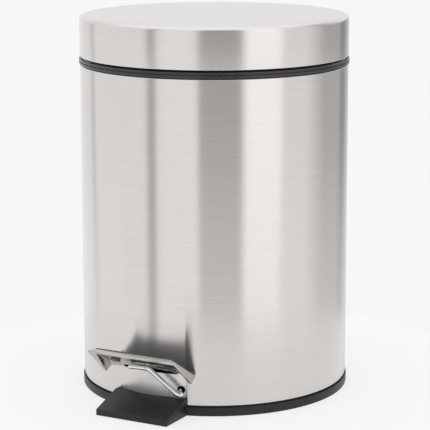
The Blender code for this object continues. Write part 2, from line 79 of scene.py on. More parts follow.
# Each panel of the studio: the bearings it spans, to the right of the camera, and its brightness.
PANELS = (
    (-180, -131, 0.91), (-127, -125, 0.62), (-121, -61, 0.94), (-56, -53, 0.42), (-48, -16, 1.00),
    (-11, 21, 0.43), (28, 57, 1.25), (61, 84, 0.90), (108, 132, 0.48), (138, 144, 0.30), (160, 162, 0.66),
    (175, 180, 0.90),
)


def make_studio():
    world = bpy.data.worlds.new("studio")
    bpy.context.scene.world = world
    world.use_nodes = True
    tree = world.node_tree
    tree.nodes.clear()
    link = tree.links.new
    way = node(tree, "ShaderNodeTexCoord").outputs["Generated"]
    ahead = node(tree, "ShaderNodeVectorMath", operation="DOT_PRODUCT")
    ahead.inputs[1].default_value = (math.sin(CAMERA_TURN), -math.cos(CAMERA_TURN), 0.0)
    right = node(tree, "ShaderNodeVectorMath", operation="DOT_PRODUCT")
    right.inputs[1].default_value = (math.cos(CAMERA_TURN), math.sin(CAMERA_TURN), 0.0)
    bearing = node(tree, "ShaderNodeMath", operation="ARCTAN2")
    share = node(tree, "ShaderNodeMapRange", From_Min=-math.pi, From_Max=math.pi)
    ramp = node(tree, "ShaderNodeValToRGB")
    stops = sorted((bearing_at / 360.0 + 0.5, level) for a, b, level in PANELS for bearing_at in (a, b))
    ramp.color_ramp.elements[0].position = stops[0][0]
    ramp.color_ramp.elements[1].position = stops[-1][0]
    for position, _ in stops[1:-1]:
        ramp.color_ramp.elements.new(position)
    for stop, (_, level) in zip(ramp.color_ramp.elements, stops):
        stop.color = (level, level, level, 1.0)
    height = node(tree, "ShaderNodeSeparateXYZ")
    dip = node(tree, "ShaderNodeMapRange", From_Min=-0.145, From_Max=-0.290)
    paler = node(tree, "ShaderNodeMix", data_type="RGBA", Factor=0.46, B=(1.10, 1.10, 1.10, 1.0))
    lower = node(tree, "ShaderNodeMix", data_type="RGBA")
    rise = node(tree, "ShaderNodeMapRange", interpolation_type="SMOOTHSTEP", From_Min=0.42, From_Max=0.85)
    ceiling = node(tree, "ShaderNodeMix", data_type="RGBA", B=(1.22, 1.22, 1.22, 1.0))
    above = node(tree, "ShaderNodeMapRange", interpolation_type="SMOOTHSTEP", From_Min=0.0, From_Max=0.16)
    behind = node(tree, "ShaderNodeMapRange", interpolation_type="SMOOTHSTEP",
                  From_Min=-0.20, From_Max=-0.75)
    sweep = node(tree, "ShaderNodeMath", operation="MULTIPLY")
    backdrop = node(tree, "ShaderNodeMix", data_type="RGBA", B=(0.955, 0.945, 0.95, 1.0))
    seen = node(tree, "ShaderNodeLightPath")
    plain = node(tree, "ShaderNodeMix", data_type="RGBA", B=(0.93, 0.93, 0.93, 1.0))
    glow = node(tree, "ShaderNodeBackground")
    for taker in (ahead, right):
        link(way, taker.inputs[0])
    link(right.outputs["Value"], bearing.inputs[0])
    link(ahead.outputs["Value"], bearing.inputs[1])
    link(bearing.outputs[0], share.inputs["Value"])
    link(share.outputs["Result"], ramp.inputs["Fac"])
    link(way, height.inputs[0])
    link(height.outputs["Z"], rise.inputs["Value"])
    link(rise.outputs["Result"], ceiling.inputs["Factor"])
    link(height.outputs["Z"], dip.inputs["Value"])
    link(dip.outputs["Result"], lower.inputs["Factor"])
    link(ramp.outputs["Color"], paler.inputs["A"])
    link(paler.outputs["Result"], lower.inputs["B"])
    link(ramp.outputs["Color"], lower.inputs["A"])
    link(height.outputs["Z"], above.inputs["Value"])
    link(ahead.outputs["Value"], behind.inputs["Value"])
    link(above.outputs["Result"], sweep.inputs[0])
    link(behind.outputs["Result"], sweep.inputs[1])
    link(sweep.outputs[0], backdrop.inputs["Factor"])
    link(lower.outputs["Result"], backdrop.inputs["A"])
    link(backdrop.outputs["Result"], ceiling.inputs["A"])
    link(seen.outputs["Is Camera Ray"], plain.inputs["Factor"])
    link(ceiling.outputs["Result"], plain.inputs["A"])
    link(plain.outputs["Result"], glow.inputs["Color"])
    link(glow.outputs[0], node(tree, "ShaderNodeOutputWorld").inputs["Surface"])


make_studio()


def finish_of(name, colour, roughness, metallic=0.0, **sockets):
    """A new material with a Principled shader. Returns the material, its tree and the shader."""
    made = bpy.data.materials.new(name)
    made.use_nodes = True
    shader = made.node_tree.nodes["Principled BSDF"]
    shader.inputs["Base Color"].default_value = (*colour, 1.0)
    shader.inputs["Roughness"].default_value = roughness
    shader.inputs["Metallic"].default_value = metallic
    for socket, value in sockets.items():
        shader.inputs[socket.replace("_", " ")].default_value = value
    return made, made.node_tree, shader


def make_table():
    mesh = bpy.data.meshes.new("table_top")
    bm = bmesh.new()
    bmesh.ops.create_circle(bm, cap_ends=True, segments=96, radius=0.22)
    bm.to_mesh(mesh)
    bm.free()
    table = bpy.data.objects.new("table_top", mesh)
    table.location.z = -0.0002
    bpy.context.scene.collection.objects.link(table)
    paint = finish_of("table_white", (0.24, 0.24, 0.24), 0.85, Specular_IOR_Level=0.0,
                      Emission_Color=(1.0, 1.0, 1.0, 1.0), Emission_Strength=0.705)[0]
    mesh.materials.append(paint)


make_table()


# ---------------------------------------------------------------- Can
# One sheet of 0.5 mm stainless steel, rolled into a tube and brushed round and round, with a
# welded seam at the back. It stands on the base and holds every other piece.
CAN_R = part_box("body_shell")[1].x
CAN_LOW, CAN_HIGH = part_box("body_shell")[0].z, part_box("body_shell")[1].z
SHEET = 0.0005
SLOT_LOW, SLOT_HIGH, SLOT_HALF = 0.0302, 0.0338, 0.0224
WIRE_TURN = math.asin(0.025 / 0.0999)
SHAFT_Z = 0.0190
SIDES = (-1, 1)


def place(name, mesh, *finishes):
    piece = bpy.data.objects.new(name, mesh)
    bpy.context.scene.collection.objects.link(piece)
    for finish in finishes:
        piece.data.materials.append(finish)
    return piece


def mesh_of(bm, name, sharp=32.0):
    bmesh.ops.recalc_face_normals(bm, faces=bm.faces)
    mesh = bpy.data.meshes.new(name)
    bm.to_mesh(mesh)
    bm.free()
    mesh.shade_smooth()
    mesh.set_sharp_from_angle(angle=math.radians(sharp))
    return mesh


def turned(name, outline, finish, sides=256, sharp=32.0):
    """Turns an outline of (radius, height) points about Z. A point at radius 0 becomes a pole."""
    bm = bmesh.new()
    points = [bm.verts.new((radius, 0.0, height)) for radius, height in outline]
    pairs = list(zip(points, points[1:]))
    if outline[0][0] > 0.0:
        pairs.append((points[-1], points[0]))
    edges = [bm.edges.new(pair) for pair in pairs]
    bmesh.ops.spin(bm, geom=points + edges, axis=(0, 0, 1), cent=(0, 0, 0),
                   steps=sides, angle=2 * math.pi, use_merge=True)
    bmesh.ops.remove_doubles(bm, verts=bm.verts, dist=1e-6)
    return place(name, mesh_of(bm, name, sharp), finish)


def arc(centre, radius, start, end, steps=5):
    """Points of (radius, height) along an arc, from one angle to another in degrees."""
    turns = [math.radians(start + (end - start) * i / steps) for i in range(steps + 1)]
    return [(centre[0] + radius * math.cos(t), centre[1] + radius * math.sin(t)) for t in turns]


def block(name, outline, axis, low, high, finish=None):
    """Extrudes a flat outline along an axis. The outline is in the two other axes, in X, Y, Z order."""
    spots = {"X": lambda a, b, c: (c, a, b), "Y": lambda a, b, c: (a, c, b), "Z": lambda a, b, c: (a, b, c)}
    bm = bmesh.new()
    face = bm.faces.new([bm.verts.new(spots[axis](a, b, low)) for a, b in outline])
    raised = bmesh.ops.extrude_face_region(bm, geom=[face])["geom"]
    shift = Vector(spots[axis](0.0, 0.0, high - low))
    bmesh.ops.translate(bm, vec=shift, verts=[v for v in raised if isinstance(v, bmesh.types.BMVert)])
    return place(name, mesh_of(bm, name), *([finish] if finish else []))


def rectangle(low_a, high_a, low_b, high_b):
    return [(low_a, low_b), (high_a, low_b), (high_a, high_b), (low_a, high_b)]


def ring(centre, radius, sides=32):
    return [(centre[0] + radius * math.cos(2 * math.pi * i / sides),
             centre[1] + radius * math.sin(2 * math.pi * i / sides)) for i in range(sides)]


def settle(piece, sharp=32.0):
    """Makes a piece with modifiers a plain mesh."""
    graph = bpy.context.evaluated_depsgraph_get()
    mesh = bpy.data.meshes.new_from_object(piece.evaluated_get(graph))
    piece.modifiers.clear()
    piece.data = mesh
    mesh.shade_smooth()
    mesh.set_sharp_from_angle(angle=math.radians(sharp))
    return piece


def carve(piece, *tools, operation="DIFFERENCE"):
    """Cuts the tools out of a piece, or joins them to it, and leaves a plain mesh."""
    for tool in tools:
        change = piece.modifiers.new(tool.name, "BOOLEAN")
        change.operation = operation
        change.solver = "EXACT"
        change.object = tool
    settle(piece)
    for tool in tools:
        bpy.data.objects.remove(tool)
    return piece


def turn(piece, angle, axis="Z"):
    piece.data.transform(Matrix.Rotation(angle, 4, axis))
    return piece


def finish_piece(piece, body, slot, *nodes):
    """A finished piece rides on its body and stands for its CAD nodes, which it hides. Its finish slot is not
    used.
    """
    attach(piece, body)
    if nodes:
        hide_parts(*nodes)
    return piece


def tint_ramp(tree, colour, places, shares):
    """A ramp between two shades of a colour. Shares are how bright each shade is."""
    tint = node(tree, "ShaderNodeValToRGB")
    for stop, position, share in zip(tint.color_ramp.elements, places, shares):
        stop.position = position
        stop.color = (*[min(1.0, c * share) for c in colour], 1.0)
    return tint


def brushed_steel(name, colour, roughness, stretch, grain, spin):
    """Brushed sheet. Grain is how often the hair lines repeat along X, Y and Z, per metre."""
    made, tree, shader = finish_of(name, colour, roughness, 1.0, Anisotropic=stretch,
                                   Anisotropic_Rotation=spin)
    link = tree.links.new
    spot = node(tree, "ShaderNodeTexCoord").outputs["Object"]
    fine_place = node(tree, "ShaderNodeMapping", Scale=grain)
    fine = node(tree, "ShaderNodeTexNoise", Scale=1.0, Detail=3.0, Roughness=0.65)
    wide_place = node(tree, "ShaderNodeMapping", Scale=[axis * 0.31 for axis in grain])
    wide = node(tree, "ShaderNodeTexNoise", Scale=1.0, Detail=2.0)
    both = node(tree, "ShaderNodeMix", data_type="FLOAT", Factor=0.30)
    tint = tint_ramp(tree, colour, (0.32, 0.68), (0.955, 1.035))
    gloss = node(tree, "ShaderNodeMapRange", To_Min=roughness - 0.03, To_Max=roughness + 0.03)
    bump = node(tree, "ShaderNodeBump", Strength=0.05, Distance=0.00001)
    link(spot, fine_place.inputs["Vector"])
    link(spot, wide_place.inputs["Vector"])
    link(fine_place.outputs[0], fine.inputs["Vector"])
    link(wide_place.outputs[0], wide.inputs["Vector"])
    link(fine.outputs[0], both.inputs["A"])
    link(wide.outputs[0], both.inputs["B"])
    link(both.outputs["Result"], tint.inputs["Fac"])
    link(both.outputs["Result"], gloss.inputs["Value"])
    link(fine.outputs[0], bump.inputs["Height"])
    link(tint.outputs["Color"], shader.inputs["Base Color"])
    link(gloss.outputs["Result"], shader.inputs["Roughness"])
    link(bump.outputs["Normal"], shader.inputs["Normal"])
    return made, tree, shader


def round_brushed(name, colour, roughness, stretch):
    """Brushed round the Z axis, so that reflections are drawn out up and down."""
    made, tree, shader = brushed_steel(name, colour, roughness, stretch, (55.0, 55.0, 2600.0), 0.25)
    tangent = node(tree, "ShaderNodeTangent", direction_type="RADIAL", axis="Z")
    tree.links.new(tangent.outputs[0], shader.inputs["Tangent"])
    return made


steel = round_brushed("can_brushed_steel", (0.700, 0.672, 0.655), 0.21, 0.95)


def make_can():
    inside, curl = CAN_R - SHEET, 0.0011
    outline = (arc((CAN_R - curl, CAN_HIGH - curl), curl, 0, 80, 6)
               + [(CAN_R - curl, CAN_HIGH - SHEET), (inside, CAN_HIGH - SHEET - 0.0003)]
               + arc((CAN_R - SHEET / 2, CAN_LOW + SHEET / 2), SHEET / 2, 180, 360, 4))
    can = turned("can_wall", outline, steel)
    tools = [block("slot", rectangle(-SLOT_HALF, SLOT_HALF, SLOT_LOW, SLOT_HIGH), "Y", -0.104, -0.090),
             turn(block("wire_hole", ring((0.0, SHAFT_Z), 0.0029), "Y", -0.104, -0.090), WIRE_TURN),
             block("guide_hole", ring((0.0100, 0.2000), 0.0019), "Y", 0.090, 0.104)]
    tools += [block(f"bracket_hole_{side}", ring((side * 0.0100, 0.2330), 0.0019), "Y", 0.090, 0.104)
              for side in SIDES]
    carve(can, *tools)
    finish_piece(can, "bin_body", "brushed_steel", "body_shell")
    weld_r, low, high = CAN_R + 0.00012, CAN_LOW + 0.001, CAN_HIGH - 0.001
    weld = turned("can_weld", [(weld_r, high), (inside, high), (inside, low), (weld_r, low)], steel, 512)
    window = block("weld_window", rectangle(0.0290, 0.0306, 0.080, 0.110), "Z", 0.0, 0.26)
    carve(weld, window, operation="INTERSECT")
    finish_piece(weld, "bin_body", "brushed_steel")


make_can()


# ---------------------------------------------------------------- Base
# Black polypropylene, moulded in one: a flat tray that the can is pressed over, the wedge in front
# that the pedal comes down over, two bosses for the linkage and four posts for the false floor.
BASE_TOP = 0.0068
BASE_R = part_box("base_pan")[1].x
STRAP_PLACES = (-0.0780, 0.0640)
SCREW_ASIDE = 0.0075


def moulded(name, colour, roughness, grain_size, depth, sheen=0.35):
    """Moulded plastic with a fine eroded grain and faint flow marks."""
    made, tree, shader = finish_of(name, colour, roughness, Specular_IOR_Level=sheen)
    link = tree.links.new
    spot = node(tree, "ShaderNodeTexCoord").outputs["Object"]
    grain = node(tree, "ShaderNodeTexNoise", Scale=grain_size, Detail=4.0)
    flow = node(tree, "ShaderNodeTexNoise", Scale=38.0, Detail=2.0)
    tint = tint_ramp(tree, colour, (0.30, 0.72), (0.80, 1.30))
    gloss = node(tree, "ShaderNodeMapRange", To_Min=roughness - 0.09, To_Max=roughness + 0.09)
    bump = node(tree, "ShaderNodeBump", Strength=0.35, Distance=depth)
    link(spot, grain.inputs["Vector"])
    link(spot, flow.inputs["Vector"])
    link(flow.outputs[0], tint.inputs["Fac"])
    link(grain.outputs[0], gloss.inputs["Value"])
    link(grain.outputs[0], bump.inputs["Height"])
    link(tint.outputs["Color"], shader.inputs["Base Color"])
    link(gloss.outputs["Result"], shader.inputs["Roughness"])
    link(bump.outputs["Normal"], shader.inputs["Normal"])
    return made


black_plastic = moulded("black_polypropylene", (0.0140, 0.0136, 0.0140), 0.42, 2600.0, 0.00004)


def softened(node_name, name, finish, width, segments=2, merge_flat=True):
    """A copy of a CAD node with its edges rounded as moulding or pressing rounds them."""
    bm = bmesh.new()
    bm.from_mesh(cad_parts[node_name].data)
    bmesh.ops.remove_doubles(bm, verts=bm.verts, dist=1e-6)
    if merge_flat:
        bmesh.ops.dissolve_limit(bm, angle_limit=math.radians(1.0), verts=bm.verts, edges=bm.edges)
    mesh = bpy.data.meshes.new(name)
    bm.to_mesh(mesh)
    bm.free()
    piece = place(name, mesh, finish)
    bevel = piece.modifiers.new("edge", "BEVEL")
    bevel.width = width
    bevel.segments = segments
    bevel.limit_method = "ANGLE"
    bevel.angle_limit = math.radians(28.0)
    bevel.harden_normals = False
    return settle(piece, 40.0)


def around(bearing, reach):
    """The (x, y) of a place at a bearing in degrees and a reach from the middle."""
    return reach * math.cos(math.radians(bearing)), reach * math.sin(math.radians(bearing))


def make_base():
    corner, floor, upstand_top, upstand_half = 0.0006, 0.0022, 0.0140, 0.0009
    outline = [(0.0, 0.0)] + arc((BASE_R - corner, corner), corner, -90, 0, 3) \
        + arc((BASE_R - corner, BASE_TOP - corner - 0.0003), corner, 0, 90, 4) \
        + [(CAN_R, BASE_TOP - 0.0011), (CAN_R - 0.0009, BASE_TOP - 0.0018)] \
        + arc((CAN_R - 0.0018, upstand_top - upstand_half), upstand_half, 0, 180, 5) \
        + [(CAN_R - 0.0027, floor), (0.0, floor)]
    tray = turned("base_tray", outline, black_plastic)
    front, low, high, half = -0.1259, 0.0048, 0.0129, 0.0294
    side = [(-0.0900, 0.0), (front + 0.0004, 0.0), (front, 0.0004)] \
        + [(front + 0.0010 - 0.0010 * math.cos(t), low - 0.0010 + 0.0010 * math.sin(t))
           for t in [math.radians(18 * i) for i in range(5)]] + [(-0.0990, high), (-0.0900, high)]
    wedge = block("wedge", side, "X", -half, half)
    rounding = wedge.modifiers.new("edge", "BEVEL")
    rounding.width = 0.0006
    rounding.segments = 3
    rounding.limit_method = "ANGLE"
    rounding.angle_limit = math.radians(50.0)
    settle(wedge)
    hollow_r, hollow_top = CAN_R + 0.0003, 0.03
    hollow = [(0.0, BASE_TOP), (hollow_r, BASE_TOP), (hollow_r, hollow_top), (0.0, hollow_top)]
    carve(wedge, turned("hollow", hollow, None))
    tools = [wedge]
    for i, along in enumerate(STRAP_PLACES):
        plan = rectangle(-0.0110, 0.0110, along - 0.0040, along + 0.0040)
        boss = block(f"boss_{i}", plan, "Z", 0.0012, 0.0172)
        tools.append(turn(boss, WIRE_TURN))
    for i, (bearing, reach) in enumerate(((30, 0.0620), (150, 0.0620), (222, 0.0680), (318, 0.0680))):
        tools.append(block(f"post_{i}", ring(around(bearing, reach), 0.0040, 24), "Z", 0.0012, 0.0377))
    carve(tray, *tools, operation="UNION")
    cuts = []
    for i, along in enumerate(STRAP_PLACES):
        for side in SIDES:
            spot = (side * SCREW_ASIDE, along)
            hole = block(f"hole_{i}_{side}", ring(spot, 0.0017, 16), "Z", 0.0080, SHAFT_Z)
            cuts.append(turn(hole, WIRE_TURN))
    for i, bearing in enumerate((45, 135, 225, 315)):
        cuts.append(block(f"pocket_{i}", ring(around(bearing, 0.0860), 0.0074), "Z", -0.0010, 0.0013))
    carve(tray, *cuts)
    finish_piece(tray, "bin_body", "black_plastic", "base_pan")


make_base()


# ---------------------------------------------------------------- Foot pads
# Four discs of black rubber that grip the floor. Each is glued into a round pocket under the base,
# flush with its flat underside.
rubber = moulded("black_rubber", (0.018, 0.018, 0.018), 0.70, 900.0, 0.00008, 0.2)

for i in range(4):
    pad = softened(f"foot_pad_{i + 1}", f"foot_disc_{i + 1}", rubber, 0.0002)
    finish_piece(pad, "bin_body", "rubber", f"foot_pad_{i + 1}")


# ---------------------------------------------------------------- Collar
# A black plastic ring pressed into the can's rim. Its lip shows between can and lid, in two
# steps, and its inner ledge carries the bucket. A notch at the back lets the lid lever through.
collar_plastic = moulded("collar_polypropylene", (0.017, 0.017, 0.018), 0.27, 1500.0, 0.00002, 0.6)


def make_collar():
    low, high = 0.2439, 0.2491
    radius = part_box("collar_ring")[1].x
    upper, groove = high - 0.0009, low + 0.0024
    outline = [(0.0907, 0.2449), (0.0907, 0.2470)] + arc((0.0921, 0.2474), 0.0002, 270, 360, 2) \
        + arc((0.0927, high - 0.0004), 0.0004, 180, 90, 3) \
        + [(radius - 0.0030, high), (radius - 0.0022, upper - 0.0002)] \
        + arc((radius - 0.0007, upper - 0.0007), 0.0007, 90, 0, 5) \
        + arc((radius - 0.0003, groove + 0.0006), 0.0003, 0, -70, 3) \
        + [(radius - 0.0011, groove + 0.0002), (radius - 0.0011, groove - 0.0002)] \
        + arc((radius - 0.0005, groove - 0.0007), 0.0005, 90, 0, 4) \
        + arc((radius - 0.0004, low + 0.0006), 0.0004, 0, -80, 3) \
        + [(CAN_R - 0.0014, low), (CAN_R - 0.0014, 0.2389), (CAN_R - 0.0018, 0.2385),
           (CAN_R - 0.0025, 0.2385), (CAN_R - 0.0025, 0.2449)]
    collar = turned("collar_lip", outline, collar_plastic)
    tools = [block("notch", rectangle(-0.0090, 0.0090, 0.0926, 0.1030), "Z", 0.2370, 0.2510)]
    for i, bearing in enumerate((20, 160, 235, 305)):
        spot = around(bearing, 0.0962)
        tools.append(block(f"bumper_pocket_{i}", ring(spot, 0.0026, 24), "Z", 0.2472, 0.2510))
    carve(collar, *tools)
    finish_piece(collar, "bin_body", "black_plastic", "collar_ring")


make_collar()

for i in range(4):
    bumper = softened(f"rim_bumper_{i + 1}", f"rim_button_{i + 1}", rubber, 0.0004, 3)
    finish_piece(bumper, "bin_body", "rubber", f"rim_bumper_{i + 1}")


# ---------------------------------------------------------------- False floor
# A disc of zinc-plated steel that keeps rubbish off the linkage. It lies on the base's four posts,
# and a notch at the back lets the lift rod through.
def plated(name, colour, roughness, patch):
    """Bright metal with faint handling marks and slightly uneven gloss."""
    made, tree, shader = finish_of(name, colour, roughness, 1.0)
    link = tree.links.new
    spot = node(tree, "ShaderNodeTexCoord").outputs["Object"]
    clouds = node(tree, "ShaderNodeTexNoise", Scale=patch, Detail=5.0)
    marks = node(tree, "ShaderNodeTexNoise", Scale=patch * 14.0, Detail=2.0)
    tint = tint_ramp(tree, colour, (0.35, 0.65), (0.94, 1.03))
    gloss = node(tree, "ShaderNodeMapRange", To_Min=roughness * 0.7, To_Max=roughness * 1.4)
    bump = node(tree, "ShaderNodeBump", Strength=0.04, Distance=0.00002)
    for taker in (clouds, marks):
        link(spot, taker.inputs["Vector"])
    link(clouds.outputs[0], tint.inputs["Fac"])
    link(clouds.outputs[0], gloss.inputs["Value"])
    link(marks.outputs[0], bump.inputs["Height"])
    link(tint.outputs["Color"], shader.inputs["Base Color"])
    link(gloss.outputs["Result"], shader.inputs["Roughness"])
    link(bump.outputs["Normal"], shader.inputs["Normal"])
    return made


zinc = plated("zinc_plate", (0.62, 0.63, 0.65), 0.34, 60.0)
floor_disc = softened("linkage_cover", "false_floor", zinc, 0.0002)
finish_piece(floor_disc, "bin_body", "bright_steel", "linkage_cover")


# ---------------------------------------------------------------- Wire crank
# One chromed 3 mm wire, drawn 0.2 mm thicker than it is. Its foot lies under the pedal, a loop takes
# it into the can, its shaft crosses the base in two straps, and its rear arm ends in the rod's eye.
WIRE_R = 0.0015
WIRE_SEEN_R = 0.0016
SHAFT_REAR, REAR_ARM, PIN_END = 0.0820, 0.0278, 0.0905
ARM_DROP = REAR_ARM * math.sin(math.radians(11.0))
ARM_REACH = REAR_ARM * math.cos(math.radians(11.0))


def smooth_route(stops, step=0.0009):
    """Points along a smooth curve through the stops, closer together than the wire is thick."""
    stops = [Vector(stop) for stop in stops]
    ends = [stops[0] * 2 - stops[1]] + stops + [stops[-1] * 2 - stops[-2]]
    route = []
    for before, here, there, after in zip(ends, ends[1:], ends[2:], ends[3:]):
        reach = (there - here).length
        pull_here = (there - before) * reach / ((here - before).length + reach)
        pull_there = (after - here) * reach / ((after - there).length + reach)
        count = min(40, max(1, round(reach / step)))
        for i in range(count):
            t = i / count
            route.append(here * (2 * t ** 3 - 3 * t ** 2 + 1) + pull_here * (t ** 3 - 2 * t ** 2 + t)
                         + there * (3 * t ** 2 - 2 * t ** 3) + pull_there * (t ** 3 - t ** 2))
    route.append(stops[-1])
    return route


def drawn_wire(name, route, radius, finish, sides=28):
    """A round wire along a route, with its cut ends rounded over."""
    bm = bmesh.new()
    ways = [(there - here).normalized() for here, there in zip(route, route[1:])]
    ways = [ways[0]] + [(a + b).normalized() for a, b in zip(ways, ways[1:])] + [ways[-1]]
    side = ways[0].orthogonal().normalized()
    rows = []
    shrink = [(0.55, 0.0), (0.85, 0.28), (1.0, 0.6)]
    start = [(route[0] + ways[0] * radius * along, ways[0], narrow) for narrow, along in shrink]
    stop = [(route[-1] - ways[-1] * radius * along, ways[-1], narrow) for narrow, along in reversed(shrink)]
    clear = radius * 0.7
    middle = [(spot, way, 1.0) for spot, way in zip(route, ways)
              if (spot - route[0]).length > clear and (spot - route[-1]).length > clear]
    for spot, way, narrow in start + middle + stop:
        side = (side - way * side.dot(way)).normalized()
        up = way.cross(side)
        rows.append([bm.verts.new(spot + radius * narrow * (side * math.cos(t) + up * math.sin(t)))
                     for t in [2 * math.pi * i / sides for i in range(sides)]])
    for first, last in zip(rows, rows[1:]):
        for i in range(sides):
            j = (i + 1) % sides
            bm.faces.new((first[i], first[j], last[j], last[i]))
    bm.faces.new(rows[0])
    bm.faces.new(rows[-1])
    return place(name, mesh_of(bm, name, 50.0), finish)


def shaft_point(across, along, height):
    """A point in the crank's own frame, turned to the shaft's direction. Along is towards the back."""
    return Matrix.Rotation(WIRE_TURN, 3, "Z") @ Vector((across, along, height))


chrome = plated("chrome_plate", (0.84, 0.84, 0.85), 0.06, 45.0)
chrome.node_tree.nodes["Principled BSDF"].inputs["Specular Tint"].default_value = (0.12, 0.12, 0.13, 1.0)


def make_crank():
    arm_z = SHAFT_Z - ARM_DROP
    rear = [shaft_point(ARM_REACH, PIN_END, arm_z), shaft_point(ARM_REACH, SHAFT_REAR + 0.0035, arm_z),
            shaft_point(ARM_REACH - 0.0010, SHAFT_REAR + 0.0010, arm_z + 0.0002),
            shaft_point(ARM_REACH - 0.0035, SHAFT_REAR, arm_z + 0.0007),
            shaft_point(0.0035, SHAFT_REAR, SHAFT_Z - 0.0007),
            shaft_point(0.0010, SHAFT_REAR - 0.0010, SHAFT_Z - 0.0002),
            shaft_point(0.0, SHAFT_REAR - 0.0035, SHAFT_Z), shaft_point(0.0, 0.0, SHAFT_Z)]
    front = [shaft_point(0.0, -0.0990, SHAFT_Z), (0.0265, -0.1012, 0.0186), (0.0284, -0.1028, 0.0176),
             (0.0278, -0.1036, 0.0170), (0.0250, -0.1040, 0.0180), (0.0220, -0.1045, 0.0204),
             (0.0085, -0.1064, 0.0312), (0.0060, -0.1068, 0.0333), (0.0030, -0.1070, 0.0344),
             (-0.0005, -0.1070, 0.0345), (-0.0130, -0.1070, 0.0340)]
    crank = drawn_wire("crank_wire", smooth_route(rear + front), WIRE_SEEN_R, chrome)
    finish_piece(crank, "crank", "chrome", "wire_crank")


make_crank()


# ---------------------------------------------------------------- Bearing straps
# Two straps of zinc-plated steel, pressed to a hoop over the crank's shaft. Each is held to its
# boss on the base by two screws.
for end in ("front", "rear"):
    strap = softened(f"{end}_bearing_strap", f"{end}_strap", zinc, 0.00025)
    finish_piece(strap, "bin_body", "bright_steel", f"{end}_bearing_strap")


# ---------------------------------------------------------------- Screws and rivets
# Pan-headed screws with a cross recess hold the straps and the hinge bracket. Domed rivets hold
# the lid lever and the rod's guide. Each group is one mesh for its body.
def new_tree(name, **inputs):
    """An empty Geometry Nodes tree. Each input is a whole number, a length or None for a vector."""
    tree = bpy.data.node_groups.new(name, "GeometryNodeTree")
    tree.interface.new_socket(name="Geometry", in_out="INPUT", socket_type="NodeSocketGeometry")
    tree.interface.new_socket(name="Geometry", in_out="OUTPUT", socket_type="NodeSocketGeometry")
    kinds = {int: "NodeSocketInt", float: "NodeSocketFloat", type(None): "NodeSocketVector"}
    for label, value in inputs.items():
        made = tree.interface.new_socket(name=label.replace("_", " "), in_out="INPUT",
                                         socket_type=kinds[type(value)])
        if value is not None:
            made.default_value = value
    return tree


def end_tree(tree, spread, finish):
    """Makes a tree's instances real, gives them their finish and hands them out."""
    real = tree.nodes.new("GeometryNodeRealizeInstances")
    coat = tree.nodes.new("GeometryNodeSetMaterial")
    coat.inputs["Material"].default_value = finish
    tree.links.new(spread.outputs[0], real.inputs[0])
    tree.links.new(real.outputs[0], coat.inputs["Geometry"])
    tree.links.new(coat.outputs[0], tree.nodes.new("NodeGroupOutput").inputs[0])
    return tree


